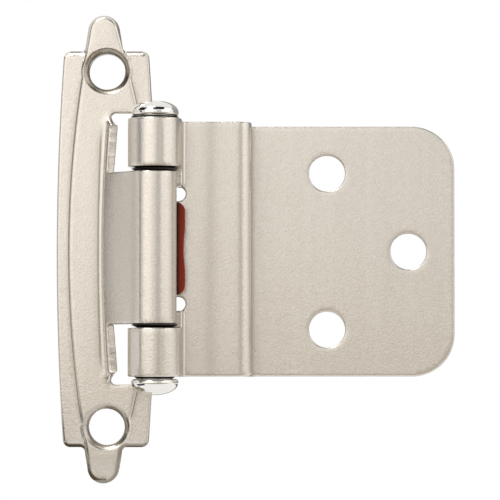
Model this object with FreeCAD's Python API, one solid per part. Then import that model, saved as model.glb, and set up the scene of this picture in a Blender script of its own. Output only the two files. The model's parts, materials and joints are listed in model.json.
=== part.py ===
import FreeCAD, Part
import math
import os
from FreeCAD import Vector

# Self-closing cabinet door hinge for a 3/8 inch inset door, closed.
# Millimetres. Z runs up the pin, X towards the door, Y back into the cabinet.
# The origin is midway between the frame wing's two screw holes, on its back plane.

# Pin, its domed head and the matching cap
pin_radius = 2.2
pin_right_of_screws = 7.3
pin_ahead_of_frame = 7.3
head_radius = 3.45
head_height = 2.1
head_band = 0.5
head_edge_chamfer = 0.15
collar_radius = 2.95
collar_height = 0.3
head_play = 0.1
cap_depth = 1.3

# Frame wing: the pressed plate that is screwed to the cabinet's face frame
wing_length = 69.85
wing_sheet = 1.0
wing_shift = -0.12
wing_half_middle = 7.35
wing_half_end = 6.3
shoulder_from_tip = 5.4
shoulder_corner_radius = 1.0
rim_height = 2.4
rim_edge_radius = 0.75
field_height = 2.8
field_left_middle = 5.72
field_right_middle = 6.75
field_edge_radius = 0.5
finial_shift = -0.5
finial_root_half = 3.1
finial_root_depth = 1.5
field_waist_depth = 1.6
finial_tip_radius = 2.35
finial_root_radius = 0.75
finial_inset = 0.28

# Wing screw holes, dimpled for a countersunk head
screw_spacing = 53.0
screw_radius = 2.7
screw_rim_radius = 3.5
screw_rim_depth = 0.85
screw_collar_wall = 1.15

# Barrel hump, drawn out of the wing's sheet and rolled round the pin
barrel_play = 0.02
barrel_length = 22.6
barrel_end_angle = 70.0
hump_bend_from_screws = 0.75
hump_bend_bow = 0.75
hump_bend_radius = 1.5
hump_bend_lead = 1.6
hump_flat_start = 5.2
stub_reach = 1.2
slot_width = 1.85
slot_past_leaf = 1.15
slot_from_screws = 0.5

# Door leaf: one bent sheet, with a knuckle at each end
leaf_sheet = 1.7
leaf_height = 38.1
leaf_play = 0.08
knuckle_play = 0.55
knuckle_curl = 300.0
cheek_front = 3.0
band_width = 10.3
inset_step = 9.525
plate_width = 30.9
plate_corner_radius = 6.5
cheek_bend_radius = 0.6
step_bend_radius = 0.35
foot_bend_radius = 0.4
plate_hole_radius = 2.75
plate_hole_from_step = 11.5
plate_hole_spacing = 23.8
plate_far_hole_from_end = 7.0
relief_radius = 1.05
relief_below_barrel_end = 3.07
relief_from_pin = 3.35
tongue_from_pin = 0.6
tongue_corner_radius = 1.0

# Closing shoe, a moulded nylon follower carried on the end of the spring
shoe_end_play = 0.28
shoe_gap = 0.1
shoe_sweep_gap = 0.12
shoe_left_of_pin = 0.5
shoe_front = 4.0
nose_left = 2.65
nose_right = 4.4
nose_front = 2.75
shoe_end_radius = 1.4
shoe_waist_depth = 0.22
shoe_waist_length = 3.0
shoe_slot_play = 0.04
shoe_slot_depth = 0.75
shoe_end_wall = 0.9

# Closing spring, a folded strip of spring steel under the hump
spring_sheet = 0.45
spring_play = 0.15
spring_tip_play = 0.05
spring_fold_radius = 0.55
spring_front = 3.45
spring_rise = 3.9

# Places worked out from the sizes above
pin_x = pin_right_of_screws
pin_y = -pin_ahead_of_frame
tip_z = wing_length / 2
shoulder_z = tip_z - shoulder_from_tip
leaf_half = leaf_height / 2
barrel_inner = pin_radius + barrel_play
barrel_outer = barrel_inner + wing_sheet
knuckle_inner = pin_radius + leaf_play
knuckle_outer = knuckle_inner + leaf_sheet
band_front = -leaf_sheet
band_depth = pin_ahead_of_frame - leaf_sheet
step_x = pin_x + knuckle_outer + band_width
plate_front = band_front + inset_step
leaf_end = step_x + plate_width
slot_top = leaf_half + slot_past_leaf
stub_half = slot_top - slot_width
barrel_half = barrel_length / 2
knuckle_foot = barrel_half + knuckle_play
relief_height = barrel_half - relief_below_barrel_end
cheek_inner = relief_height + relief_radius
tongue_half = relief_height - relief_radius
shoe_half = tongue_half - shoe_end_play
spring_half = shoe_half - shoe_end_wall
field_waist_z = shoulder_z - field_waist_depth
cut_reach = wing_length


def point(x, y, z=0.0):
    return Vector(x, y, z)


def around_pin(radius, angle, z=0.0):
    turn = math.radians(angle)
    return point(pin_x + radius * math.cos(turn), pin_y + radius * math.sin(turn), z)


def arc(start, middle, end):
    return Part.Arc(start, middle, end).toShape()


def line(start, end):
    return Part.LineSegment(start, end).toShape()


def box(low, high):
    size = high - low
    return Part.makeBox(size.x, size.y, size.z, low)


def upright(shape_face, low_z, high_z):
    """Extrude a section that lies at z = 0 from one height to another."""
    moved = shape_face.translated(Vector(0, 0, low_z))
    return moved.extrude(Vector(0, 0, high_z - low_z))


def tangent_angle(outside_x, outside_y, centre_x, centre_y, radius, side):
    """Angle at which a line from an outside point touches a circle."""
    dx = outside_x - centre_x
    dy = outside_y - centre_y
    return math.atan2(dy, dx) + side * math.acos(radius / math.hypot(dx, dy))


def rounded_run(corners, radii):
    """Edges of a line through corners, each inner corner rounded."""
    edges = []
    start = corners[0]
    for before, corner, after, radius in zip(corners, corners[1:], corners[2:], radii):
        back = (before - corner).normalize()
        ahead = (after - corner).normalize()
        half = back.getAngle(ahead) / 2
        reach = radius / math.tan(half)
        enter = corner + back * reach
        leave = corner + ahead * reach
        middle_way = (back + ahead).normalize()
        crown = corner + middle_way * (radius / math.sin(half) - radius)
        edges.append(line(start, enter))
        edges.append(arc(enter, crown, leave))
        start = leave
    edges.append(line(start, corners[-1]))
    return edges


def side_by_side(corners, sheet):
    """The corners of a bent sheet's other side, to the left of its run."""
    other = []
    for index, corner in enumerate(corners):
        ways = []
        if index > 0:
            ways.append((corner - corners[index - 1]).normalize())
        if index < len(corners) - 1:
            ways.append((corners[index + 1] - corner).normalize())
        normals = [Vector(-way.y, way.x, 0) for way in ways]
        mean = normals[0] + normals[-1]
        mean.normalize()
        other.append(corner + mean * (sheet / mean.dot(normals[0])))
    return other


def bent_sheet(corners, sheet, inside_radii):
    """Section of a bent sheet: its right side's corners, thickness and inside bend radii."""
    right_radii = []
    left_radii = []
    for before, corner, after, radius in zip(corners, corners[1:], corners[2:], inside_radii):
        turn = (corner - before).cross(after - corner).z
        right_radii.append(radius + sheet if turn > 0 else radius)
        left_radii.append(radius if turn > 0 else radius + sheet)
    left = side_by_side(corners, sheet)
    edges = rounded_run(corners, right_radii)
    edges.append(line(corners[-1], left[-1]))
    edges += rounded_run(left[::-1], left_radii[::-1])
    edges.append(line(left[0], corners[0]))
    return edges


def ring_section(inner, outer, start, end):
    middle = (start + end) / 2
    edges = [
        arc(around_pin(outer, start), around_pin(outer, middle), around_pin(outer, end)),
        line(around_pin(outer, end), around_pin(inner, end)),
        arc(around_pin(inner, end), around_pin(inner, middle), around_pin(inner, start)),
        line(around_pin(inner, start), around_pin(outer, start)),
    ]
    return Part.Face(Part.Wire(edges))


def lens(left_middle, left_end, right_middle, right_end, end_z, height):
    """A plate between two bowed sides, standing forward from the back plane."""
    edges = [
        arc(point(right_end, 0, -end_z), point(right_middle, 0, 0), point(right_end, 0, end_z)),
        line(point(right_end, 0, end_z), point(left_end, 0, end_z)),
        arc(point(left_end, 0, end_z), point(left_middle, 0, 0), point(left_end, 0, -end_z)),
        line(point(left_end, 0, -end_z), point(right_end, 0, -end_z)),
    ]
    return Part.Face(Part.Wire(edges)).extrude(Vector(0, -height, 0))


def finial(height):
    """The tapered, round-tipped ornament at the wing's upper end."""
    root_z = shoulder_z - finial_root_depth
    radius = finial_tip_radius
    half = finial_root_half
    centre_z = tip_z - finial_tip_radius
    turn = tangent_angle(half, root_z, 0, centre_z, radius, 1)
    touch_x = radius * math.cos(turn)
    touch_z = centre_z + radius * math.sin(turn)
    root_right = point(finial_shift + half, 0, root_z)
    root_left = point(finial_shift - half, 0, root_z)
    right = point(finial_shift + touch_x, 0, touch_z)
    left = point(finial_shift - touch_x, 0, touch_z)
    tip = point(finial_shift, 0, centre_z + radius)
    edges = [line(root_right, right), arc(right, tip, left), line(left, root_left)]
    edges.append(line(root_left, root_right))
    return Part.Face(Part.Wire(edges)).extrude(Vector(0, -height, 0))


def side_lean(middle, centre_x, centre_z, radius):
    """Lean of the straight that joins a side's bow to the tip's circle, touching both."""
    low = 0.0
    high = math.pi / 3
    for step in range(50):
        lean = (low + high) / 2
        touch_x = centre_x + radius * math.cos(lean)
        rise = centre_z + radius * math.sin(lean) - field_waist_z
        if touch_x + rise * math.tan(lean) + field_waist_z * math.tan(lean / 2) < middle:
            low = lean
        else:
            high = lean
    return lean


def field_side(middle, centre_x, centre_z, radius):
    """Bow's end and the tip's touching point, for a side that lies to the right."""
    lean = side_lean(middle, centre_x, centre_z, radius)
    touch_x = centre_x + radius * math.cos(lean)
    touch_z = centre_z + radius * math.sin(lean)
    return touch_x + (touch_z - field_waist_z) * math.tan(lean), touch_x, touch_z


def raised_field(tip_inset, side_inset, height):
    """The lens between the creases, which narrows and runs out into the finials."""
    radius = finial_tip_radius - tip_inset
    centre_z = tip_z - finial_tip_radius
    right_middle = field_right_middle - side_inset
    left_middle = field_left_middle - side_inset
    right_x, right_touch, right_z = field_side(right_middle, finial_shift, centre_z, radius)
    left_x, left_touch, left_z = field_side(left_middle, -finial_shift, centre_z, radius)
    waist = field_waist_z
    right_top = point(right_touch, 0, right_z)
    right_foot = point(right_touch, 0, -right_z)
    left_top = point(-left_touch, 0, left_z)
    left_foot = point(-left_touch, 0, -left_z)
    edges = [
        arc(point(right_x, 0, -waist), point(right_middle, 0, 0), point(right_x, 0, waist)),
        line(point(right_x, 0, waist), right_top),
        arc(right_top, point(finial_shift, 0, centre_z + radius), left_top),
        line(left_top, point(-left_x, 0, waist)),
        arc(point(-left_x, 0, waist), point(-left_middle, 0, 0), point(-left_x, 0, -waist)),
        line(point(-left_x, 0, -waist), left_foot),
        arc(left_foot, point(finial_shift, 0, -centre_z - radius), right_foot),
        line(right_foot, point(right_x, 0, -waist)),
    ]
    return Part.Face(Part.Wire(edges)).extrude(Vector(0, -height, 0))


def flipped(shape):
    return shape.mirror(Vector(0, 0, 0), Vector(0, 0, 1))


def along_y(edge):
    ends = [vertex.Point for vertex in edge.Vertexes]
    return len(ends) == 2 and math.hypot(ends[0].x - ends[1].x, ends[0].z - ends[1].z) < 1e-6


def front_edges(shape, height):
    return [edge for edge in shape.Edges if abs(edge.BoundBox.YMin + height) < 1e-6
            and abs(edge.BoundBox.YMax + height) < 1e-6]


def upright_corners(shape, half_low, half_high):
    """Edges square to the plate near the shoulders, between two distances from the screw line."""
    found = []
    for edge in shape.Edges:
        if along_y(edge):
            place = edge.Vertexes[0].Point
            if half_low < abs(place.x) < half_high and abs(abs(place.z) - shoulder_z) < 1.0:
                found.append(edge)
    return found


def wing_plate():
    """The outline with its finials, and the raised field that runs out into them."""
    half_middle = wing_half_middle
    half_end = wing_half_end
    outline = lens(wing_shift - half_middle, wing_shift - half_end,
                   wing_shift + half_middle, wing_shift + half_end, shoulder_z, rim_height)
    top = finial(rim_height)
    outline = outline.fuse([top, flipped(top)]).removeSplitter()
    outline = outline.makeFillet(shoulder_corner_radius,
                                 upright_corners(outline, half_end - 1, half_end + 1))
    outline = outline.makeFillet(finial_root_radius,
                                 upright_corners(outline, finial_root_half - 2, finial_root_half + 1))
    outline = outline.makeFillet(rim_edge_radius, front_edges(outline, rim_height))

    field = raised_field(finial_inset, 0, field_height)
    field = field.makeFillet(field_edge_radius, front_edges(field, field_height))
    base = box(point(-cut_reach, rim_edge_radius - rim_height, -tip_z), point(cut_reach, cut_reach, tip_z))
    return outline.fuse(field.cut(base))


def wing_hollow():
    """The space behind the pressed sheet."""
    half_middle = wing_half_middle - wing_sheet
    half_end = wing_half_end - wing_sheet
    rim = lens(wing_shift - half_middle, wing_shift - half_end, wing_shift + half_middle,
               wing_shift + half_end, shoulder_z - wing_sheet, rim_height - wing_sheet)
    field = raised_field(wing_sheet, wing_sheet, field_height - wing_sheet)
    return rim.fuse(field)


def hump_way():
    """Angle on the pin's circle where the hump's slope meets the barrel, and the slope's way up."""
    turn = tangent_angle(-hump_bend_from_screws, -field_height, pin_x, pin_y, barrel_outer, 1)
    return math.degrees(turn) - 360, Vector(-math.sin(turn), math.cos(turn), 0)


def hump_waist():
    """Outer and inner edge of the slope where its flat upper part begins."""
    start, way = hump_way()
    outer = point(-hump_bend_from_screws, -field_height) + way * hump_flat_start
    return outer, outer + Vector(-way.y, way.x, 0) * wing_sheet


def slope_section(z):
    """The bent foot of the hump's slope at one height: its bend bows along the wing."""
    bow = hump_bend_bow * (z / stub_half) ** 2
    lead = point(-hump_bend_from_screws - hump_bend_lead, -field_height)
    waist, inner_waist = hump_waist()
    outer = [lead, point(bow - hump_bend_from_screws, -field_height), waist]
    inner = side_by_side(outer, wing_sheet)[:2] + [inner_waist]
    edges = rounded_run(outer, [hump_bend_radius])
    edges.append(line(waist, inner_waist))
    edges += rounded_run(inner[::-1], [hump_bend_radius + wing_sheet])
    edges.append(line(inner[0], lead))
    wire = Part.Wire(edges)
    wire.translate(Vector(0, 0, z))
    return wire


def hump():
    start, way = hump_way()
    waist, inner_waist = hump_waist()
    foot = Part.makeLoft([slope_section(z) for z in (-stub_half, 0, stub_half)], True, False)
    edge = point(hump_bend_bow - hump_bend_from_screws, -field_height) + way * stub_reach
    cutter = Part.makeBox(cut_reach, cut_reach, cut_reach, Vector(0, -cut_reach / 2, 0))
    cutter.rotate(Vector(0, 0, 0), Vector(0, 0, 1), math.degrees(math.atan2(way.y, way.x)))
    cutter.translate(edge)
    upper = cutter.translated(Vector(0, 0, barrel_half))
    lower = cutter.translated(Vector(0, 0, -barrel_half - cut_reach))
    foot = foot.cut([upper, lower])

    corners = [waist, around_pin(barrel_outer, start), around_pin(barrel_inner, start), inner_waist]
    slope = Part.Face(Part.makePolygon(corners + [waist]))
    roll = ring_section(barrel_inner, barrel_outer, start, barrel_end_angle)
    barrel = upright(slope, -barrel_half, barrel_half).fuse(upright(roll, -barrel_half, barrel_half))
    return barrel.fuse(foot)


def hump_window():
    """What is missing from the plate behind and beside the hump."""
    lead_x = -hump_bend_from_screws - hump_bend_lead
    window = box(point(lead_x, -cut_reach, -stub_half), point(cut_reach, cut_reach, stub_half))
    round_x = slot_from_screws + slot_width / 2
    slot = box(point(round_x, -cut_reach, stub_half), point(cut_reach, cut_reach, slot_top))
    slot_end = Part.makeCylinder(slot_width / 2, 2 * cut_reach,
                                 point(round_x, cut_reach, slot_top - slot_width / 2), Vector(0, -1, 0))
    return [window, slot, slot_end, flipped(slot), flipped(slot_end)]


def frame_wing():
    wing = wing_plate().cut(wing_hollow())
    collars = []
    holes = []
    for z in (-screw_spacing / 2, screw_spacing / 2):
        foot = point(0, 0, z)
        forward = Vector(0, -1, 0)
        collars.append(Part.makeCylinder(screw_radius + screw_collar_wall, field_height - 0.1,
                                         foot, forward))
        holes.append(Part.makeCylinder(screw_radius, field_height + 1, point(0, 0.5, z), forward))
        holes.append(Part.makeCone(screw_radius, screw_rim_radius, screw_rim_depth,
                                   point(0, screw_rim_depth - field_height, z), forward))
    wing = wing.fuse(collars).cut(holes)
    wing = wing.cut(hump_window())
    return wing.fuse(hump()).removeSplitter()


def door_leaf():
    cheek_x = pin_x + knuckle_outer
    corners = [point(cheek_x, pin_y), point(cheek_x, band_front), point(step_x, band_front),
               point(step_x, plate_front), point(leaf_end, plate_front)]
    radii = [cheek_bend_radius, step_bend_radius, foot_bend_radius]
    strip = Part.Face(Part.Wire(bent_sheet(corners, leaf_sheet, radii)))
    curl = ring_section(knuckle_inner, knuckle_outer, -knuckle_curl, 0)
    knuckle = upright(curl, knuckle_foot, leaf_half)
    leaf = upright(strip, -leaf_half, leaf_half)

    cheek_edge = pin_y + cheek_front
    fold_end = cheek_x + cheek_bend_radius
    barrel_room = box(point(-cut_reach, -cut_reach, -knuckle_foot),
                      point(fold_end, cheek_edge, knuckle_foot))
    fold_room = box(point(-cut_reach, -cut_reach, -cheek_inner),
                    point(fold_end, band_front, cheek_inner))
    back_room = box(point(-cut_reach, -cut_reach, -cheek_inner),
                    point(pin_x + relief_from_pin, cut_reach, cheek_inner))
    leaf = leaf.cut([barrel_room, fold_room, back_room]).fuse([knuckle, flipped(knuckle)])

    tongue = box(point(pin_x + tongue_from_pin, band_front, -tongue_half),
                 point(fold_end, 0, tongue_half))
    tongue = tongue.makeFillet(tongue_corner_radius, [
        edge for edge in tongue.Edges
        if along_y(edge) and abs(edge.Vertexes[0].Point.x - pin_x - tongue_from_pin) < 1e-6])
    leaf = leaf.fuse(tongue).removeSplitter()

    holes = []
    for z in (-relief_height, relief_height):
        holes.append((pin_x + relief_from_pin, z, relief_radius))
    for z in (-plate_hole_spacing / 2, plate_hole_spacing / 2):
        holes.append((step_x + plate_hole_from_step, z, plate_hole_radius))
    holes.append((leaf_end - plate_far_hole_from_end, 0, plate_hole_radius))
    drills = [Part.makeCylinder(radius, 2 * cut_reach, point(x, cut_reach, z), Vector(0, -1, 0))
              for x, z, radius in holes]
    leaf = leaf.cut(drills)

    corner_edges = [edge for edge in leaf.Edges
                    if along_y(edge) and abs(edge.Vertexes[0].Point.x - leaf_end) < 1e-6]
    leaf = leaf.makeFillet(plate_corner_radius, corner_edges)
    return leaf


def domed_end():
    """Half section of the head above the knuckle, turned about the pin."""
    foot = leaf_half + head_play
    collar_top = foot + collar_height
    band_top = collar_top + head_band
    dome_sphere = (head_radius ** 2 + head_height ** 2) / (2 * head_height)
    crown_z = band_top + head_height
    lean = math.asin(head_radius / dome_sphere) / 2
    halfway = Vector(dome_sphere * math.sin(lean), 0, crown_z - dome_sphere * (1 - math.cos(lean)))
    rim = Vector(head_radius, 0, band_top)
    crown = Vector(0, 0, crown_z)
    under = Vector(head_radius - head_edge_chamfer, 0, collar_top)
    band_foot = Vector(head_radius, 0, collar_top + head_edge_chamfer)
    edges = [
        line(Vector(0, 0, foot), Vector(collar_radius, 0, foot)),
        line(Vector(collar_radius, 0, foot), Vector(collar_radius, 0, collar_top)),
        line(Vector(collar_radius, 0, collar_top), under),
        line(under, band_foot),
        line(band_foot, rim),
        arc(rim, halfway, crown),
        line(crown, Vector(0, 0, foot)),
    ]
    return Part.Face(Part.Wire(edges)).revolve(Vector(0, 0, 0), Vector(0, 0, 1), 360)


def hinge_pin():
    low = -leaf_half - head_play - cap_depth
    shaft = Part.makeCylinder(pin_radius, leaf_half + head_play - low, Vector(0, 0, low))
    pin = shaft.fuse(domed_end()).removeSplitter()
    pin.translate(Vector(pin_x, pin_y, 0))
    return pin


def pin_cap():
    cap = flipped(domed_end())
    socket = Part.makeCylinder(pin_radius, cap_depth, Vector(0, 0, -leaf_half - head_play - cap_depth))
    cap = cap.cut(socket)
    cap.translate(Vector(pin_x, pin_y, 0))
    return cap


def closing_shoe():
    """A follower whose back lies on the leaf's tongue and whose nose fills the slot."""
    left = pin_x - shoe_left_of_pin
    right = pin_x + nose_right
    front = pin_y + shoe_front
    back = pin_y + band_depth - shoe_gap
    nose_face = pin_y + nose_front
    blank = box(point(left, nose_face, -shoe_half), point(right, back, shoe_half))
    blank = blank.makeFillet(shoe_end_radius, [
        edge for edge in blank.Edges
        if along_y(edge) and abs(edge.Vertexes[0].Point.x - right) < 1e-6])
    waist_radius = (shoe_waist_length ** 2 + shoe_waist_depth ** 2) / (2 * shoe_waist_depth)
    waist = Part.makeCylinder(waist_radius, 2 * cut_reach,
                              point(right - shoe_waist_depth + waist_radius, -cut_reach), Vector(0, 1, 0))
    heel_room = box(point(-cut_reach, -cut_reach, -cut_reach),
                    point(pin_x + nose_left, front, cut_reach))
    slot_front = pin_y + spring_front - shoe_slot_play
    slot_back = pin_y + spring_front + spring_sheet + shoe_slot_play
    slot_half = spring_half + shoe_slot_play
    slot = box(point(-cut_reach, slot_front, -slot_half),
               point(pin_x + nose_left + shoe_slot_depth, slot_back, slot_half))
    swept = Part.makeCylinder(band_depth - shoe_sweep_gap, 2 * shoe_half, point(pin_x, pin_y, -shoe_half))
    return blank.cut([waist, heel_room, slot]).common(swept)


def closing_spring():
    """Lower arm behind the pin, fold at the left, upper arm up the inside of the hump."""
    start, way = hump_way()
    back = pin_y + spring_front + spring_sheet
    wall_foot = around_pin(barrel_inner - spring_play, start)
    fold = wall_foot + way * ((back - wall_foot.y) / way.y)
    tip = point(pin_x + nose_left + shoe_slot_depth - spring_tip_play, back)
    corners = [tip, fold, fold + way * spring_rise]
    section = Part.Face(Part.Wire(bent_sheet(corners, spring_sheet, [spring_fold_radius])))
    return upright(section, -spring_half, spring_half)


def write(name, shape):
    solid = shape.Solids[0] if len(shape.Solids) == 1 else shape
    print(name, "solids", len(shape.Solids), "valid", shape.isValid(), "volume", round(shape.Volume, 1))
    solid.exportStep(os.path.join("parts", name + ".step"))


os.makedirs("parts", exist_ok=True)
write("frame_wing", frame_wing())
write("door_leaf", door_leaf())
write("hinge_pin", hinge_pin())
write("pin_cap", pin_cap())
write("closing_shoe", closing_shoe())
write("closing_spring", closing_spring())
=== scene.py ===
import json
import math

import bmesh
import bpy
import numpy as np
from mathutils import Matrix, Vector
from mathutils.geometry import delaunay_2d_cdt

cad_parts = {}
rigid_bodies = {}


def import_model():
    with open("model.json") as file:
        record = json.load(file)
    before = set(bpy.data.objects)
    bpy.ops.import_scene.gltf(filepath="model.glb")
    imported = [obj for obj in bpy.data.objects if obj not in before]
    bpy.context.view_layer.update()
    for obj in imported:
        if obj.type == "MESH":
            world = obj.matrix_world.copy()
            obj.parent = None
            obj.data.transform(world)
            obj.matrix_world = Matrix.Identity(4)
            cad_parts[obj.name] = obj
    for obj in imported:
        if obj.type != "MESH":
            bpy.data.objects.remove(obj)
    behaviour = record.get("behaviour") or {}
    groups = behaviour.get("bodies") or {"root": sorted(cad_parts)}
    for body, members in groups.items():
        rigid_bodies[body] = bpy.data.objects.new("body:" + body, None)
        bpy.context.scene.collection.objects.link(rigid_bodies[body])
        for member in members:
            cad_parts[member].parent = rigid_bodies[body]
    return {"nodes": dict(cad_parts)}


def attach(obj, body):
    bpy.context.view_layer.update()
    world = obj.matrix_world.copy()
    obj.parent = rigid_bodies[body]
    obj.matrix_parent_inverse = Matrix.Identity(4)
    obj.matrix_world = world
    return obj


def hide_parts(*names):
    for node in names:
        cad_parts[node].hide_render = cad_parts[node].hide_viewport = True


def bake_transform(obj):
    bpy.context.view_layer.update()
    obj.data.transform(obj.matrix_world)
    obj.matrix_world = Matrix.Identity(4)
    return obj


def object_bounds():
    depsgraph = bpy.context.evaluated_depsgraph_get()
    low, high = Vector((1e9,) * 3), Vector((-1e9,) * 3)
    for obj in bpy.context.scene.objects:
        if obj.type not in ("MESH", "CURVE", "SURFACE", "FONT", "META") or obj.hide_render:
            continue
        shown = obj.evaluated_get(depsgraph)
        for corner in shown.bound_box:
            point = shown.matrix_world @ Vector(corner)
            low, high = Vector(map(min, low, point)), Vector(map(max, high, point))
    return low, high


for leftover in list(bpy.data.objects):
    bpy.data.objects.remove(leftover)
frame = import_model()
cadLow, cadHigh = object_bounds()
nodes = frame["nodes"]
mm = 0.001
print("frame loaded")


def linked(name, data):
    # a new object with this data, in the scene
    made = bpy.data.objects.new(name, data)
    bpy.context.collection.objects.link(made)
    return made


# Camera: just below the middle of the hinge, looking very slightly up
view = {
    "place": (0.02134, -0.4647, -0.01805),
    "target": (0.02134, -0.0017, -0.00016),
    "lens": 223.6,
}
cameraData = bpy.data.cameras.new("camera")
cameraData.lens = view["lens"]
cameraData.clip_start = 0.01
camera = linked("camera", cameraData)
camera.location = view["place"]
aim = Vector(view["target"]) - Vector(view["place"])
camera.rotation_euler = aim.to_track_quat("-Z", "Y").to_euler()
bpy.context.scene.camera = camera
bpy.context.scene.view_settings.view_transform = "Standard"
print("camera set")


class Signal:
    # a shader socket that plain arithmetic can be written on
    def __init__(self, finish, socket):
        self.finish = finish
        self.socket = socket

    def join(self, operation, first, second):
        return self.finish.node("ShaderNodeMath", {"operation": operation}, {0: first, 1: second})

    def of(self, operation):
        return self.join(operation, self, 0.0)

    def __add__(self, other):
        return self.join("ADD", self, other)

    def __sub__(self, other):
        return self.join("SUBTRACT", self, other)

    def __mul__(self, other):
        return self.join("MULTIPLY", self, other)

    def __rsub__(self, other):
        return self.join("SUBTRACT", other, self)

    __radd__ = __add__
    __rmul__ = __mul__


class Finish:
    # one node tree, of a material or of the world
    def __init__(self, owner):
        owner.use_nodes = True
        self.owner = owner
        self.tree = owner.node_tree
        self.tree.nodes.clear()

    def node(self, kind, settings=None, values=None, output=0):
        made = self.tree.nodes.new(kind)
        for key, setting in (settings or {}).items():
            setattr(made, key, setting)
        for key, value in (values or {}).items():
            socket = made.inputs[key]
            if isinstance(value, Signal):
                self.tree.links.new(value.socket, socket)
            else:
                socket.default_value = value
        if not made.outputs:
            return made
        return Signal(self, made.outputs[output])


def grey(level):
    return (level, level, level, 1.0)


def mixed(finish, factor, first, second):
    # a colour between two colours
    return finish.node("ShaderNodeMix", {"data_type": "RGBA"}, {0: factor, 6: first, 7: second}, 2)


def ramp(finish, along, start, end):
    # 0 before start, 1 after end, even between
    return finish.node("ShaderNodeMapRange", {}, {"Value": along, "From Min": start, "From Max": end})


def shown(finish, shader):
    # ends a material with its shader
    finish.node("ShaderNodeOutputMaterial", {}, {"Surface": shader})
    return finish.owner


# Stage: pale floor under the hinge, white surroundings, soft lamps, and cards that only polish sees
stage = {
    "floorSize": 6.0,
    "floorGap": 0.0002,
    "floorColour": (0.86, 0.86, 0.85, 1.0),
    "floorShare": 0.93,
    "floorLevel": 1.04,
    "world": 0.55,
    "cardLift": 0.45,       # share by which a card is brighter 0.5 m up and darker 0.5 m down
    "lamps": {
        # place, size, watts, colour, whether metal mirrors it; every lamp aims at the hinge
        "key": ((-0.16, -0.42, 0.72), 0.40, 6.0, (1.0, 0.985, 0.96), True),
        "side": ((0.62, -0.30, 0.22), 0.34, 2.0, (1.0, 0.99, 0.97), False),
    },
    "cardColour": (1.0, 0.985, 0.96, 1.0),
    "cards": [
        # azimuth from the camera's side, elevation, distance, width and height in degrees, grey
        (-125, 0, 0.80, 70, 70, 0.72),
        (-70, 34, 0.70, 34, 40, 0.01),
        (-70, -8, 0.72, 15, 36, 0.12),
        (-25, 6, 0.26, 38, 60, 1.42),
        (2, -2, 0.80, 17, 50, 1.03),
        (22, 0, 0.75, 22, 34, 0.62),
        (22, 50, 0.60, 50, 42, 0.01),
        (57, 0, 0.80, 44, 80, 1.22),
        (91, 0, 0.80, 22, 80, 0.95),
        (140, 0, 0.80, 76, 80, 0.30),
    ],
    "headCards": [(-70, -24, 0.024, 42, 20, 0.01)],  # the same, close round the lower head
    "lowerHead": (0.0073, -0.0073, -0.0195),
    "floorCards": [
        # dark sheets on the floor: middle, width, depth, colour
        ((0.00, -0.18), 0.60, 0.26, (0.46, 0.40, 0.30, 1.0)),
        ((0.00, 0.09), 0.20, 0.12, (0.22, 0.185, 0.125, 1.0)),
        ((-0.0065, 0.006), 0.013, 0.024, (0.28, 0.24, 0.17, 1.0)),
    ],
}
lookAt = Vector((0.01, 0.0, 0.0))


def towards(place):
    return (lookAt - Vector(place)).to_track_quat("-Z", "Y").to_euler()


def flatSheet(name, width, height, level=0.0):
    mesh = bpy.data.meshes.new(name)
    corners = [(x * width / 2, y * height / 2, level) for x, y in ((-1, -1), (1, -1), (1, 1), (-1, 1))]
    mesh.from_pydata(corners, [], [(0, 1, 2, 3)])
    return mesh


def mirrorCard(name, width, height, colour, level):
    # a card seen only in metal, level 1 being white, a little brighter towards its top
    mesh = flatSheet(name, width, height)
    finish = Finish(bpy.data.materials.new(name))
    place = finish.node("ShaderNodeNewGeometry")
    rise = finish.node("ShaderNodeSeparateXYZ", {}, {0: place}, "Z") + 0.5
    lift = stage["cardLift"]
    dim = tuple(part * (1 - lift) / (1 + lift) for part in colour[:3]) + (1.0,)
    shine = finish.node("ShaderNodeEmission", {}, {
        "Color": mixed(finish, rise, dim, colour), "Strength": level * (1 + lift)})
    mesh.materials.append(shown(finish, shine))
    card = linked(name, mesh)
    for ray in ("camera", "diffuse", "shadow", "transmission"):
        setattr(card, "visible_" + ray, False)
    return card


def paleRays(finish):
    # rays that see the white surroundings as they are
    rays = [finish.node("ShaderNodeLightPath", {}, {}, "Is %s Ray" % kind)
            for kind in ("Camera", "Glossy", "Transmission")]
    return rays[0] + rays[1] + rays[2]


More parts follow.
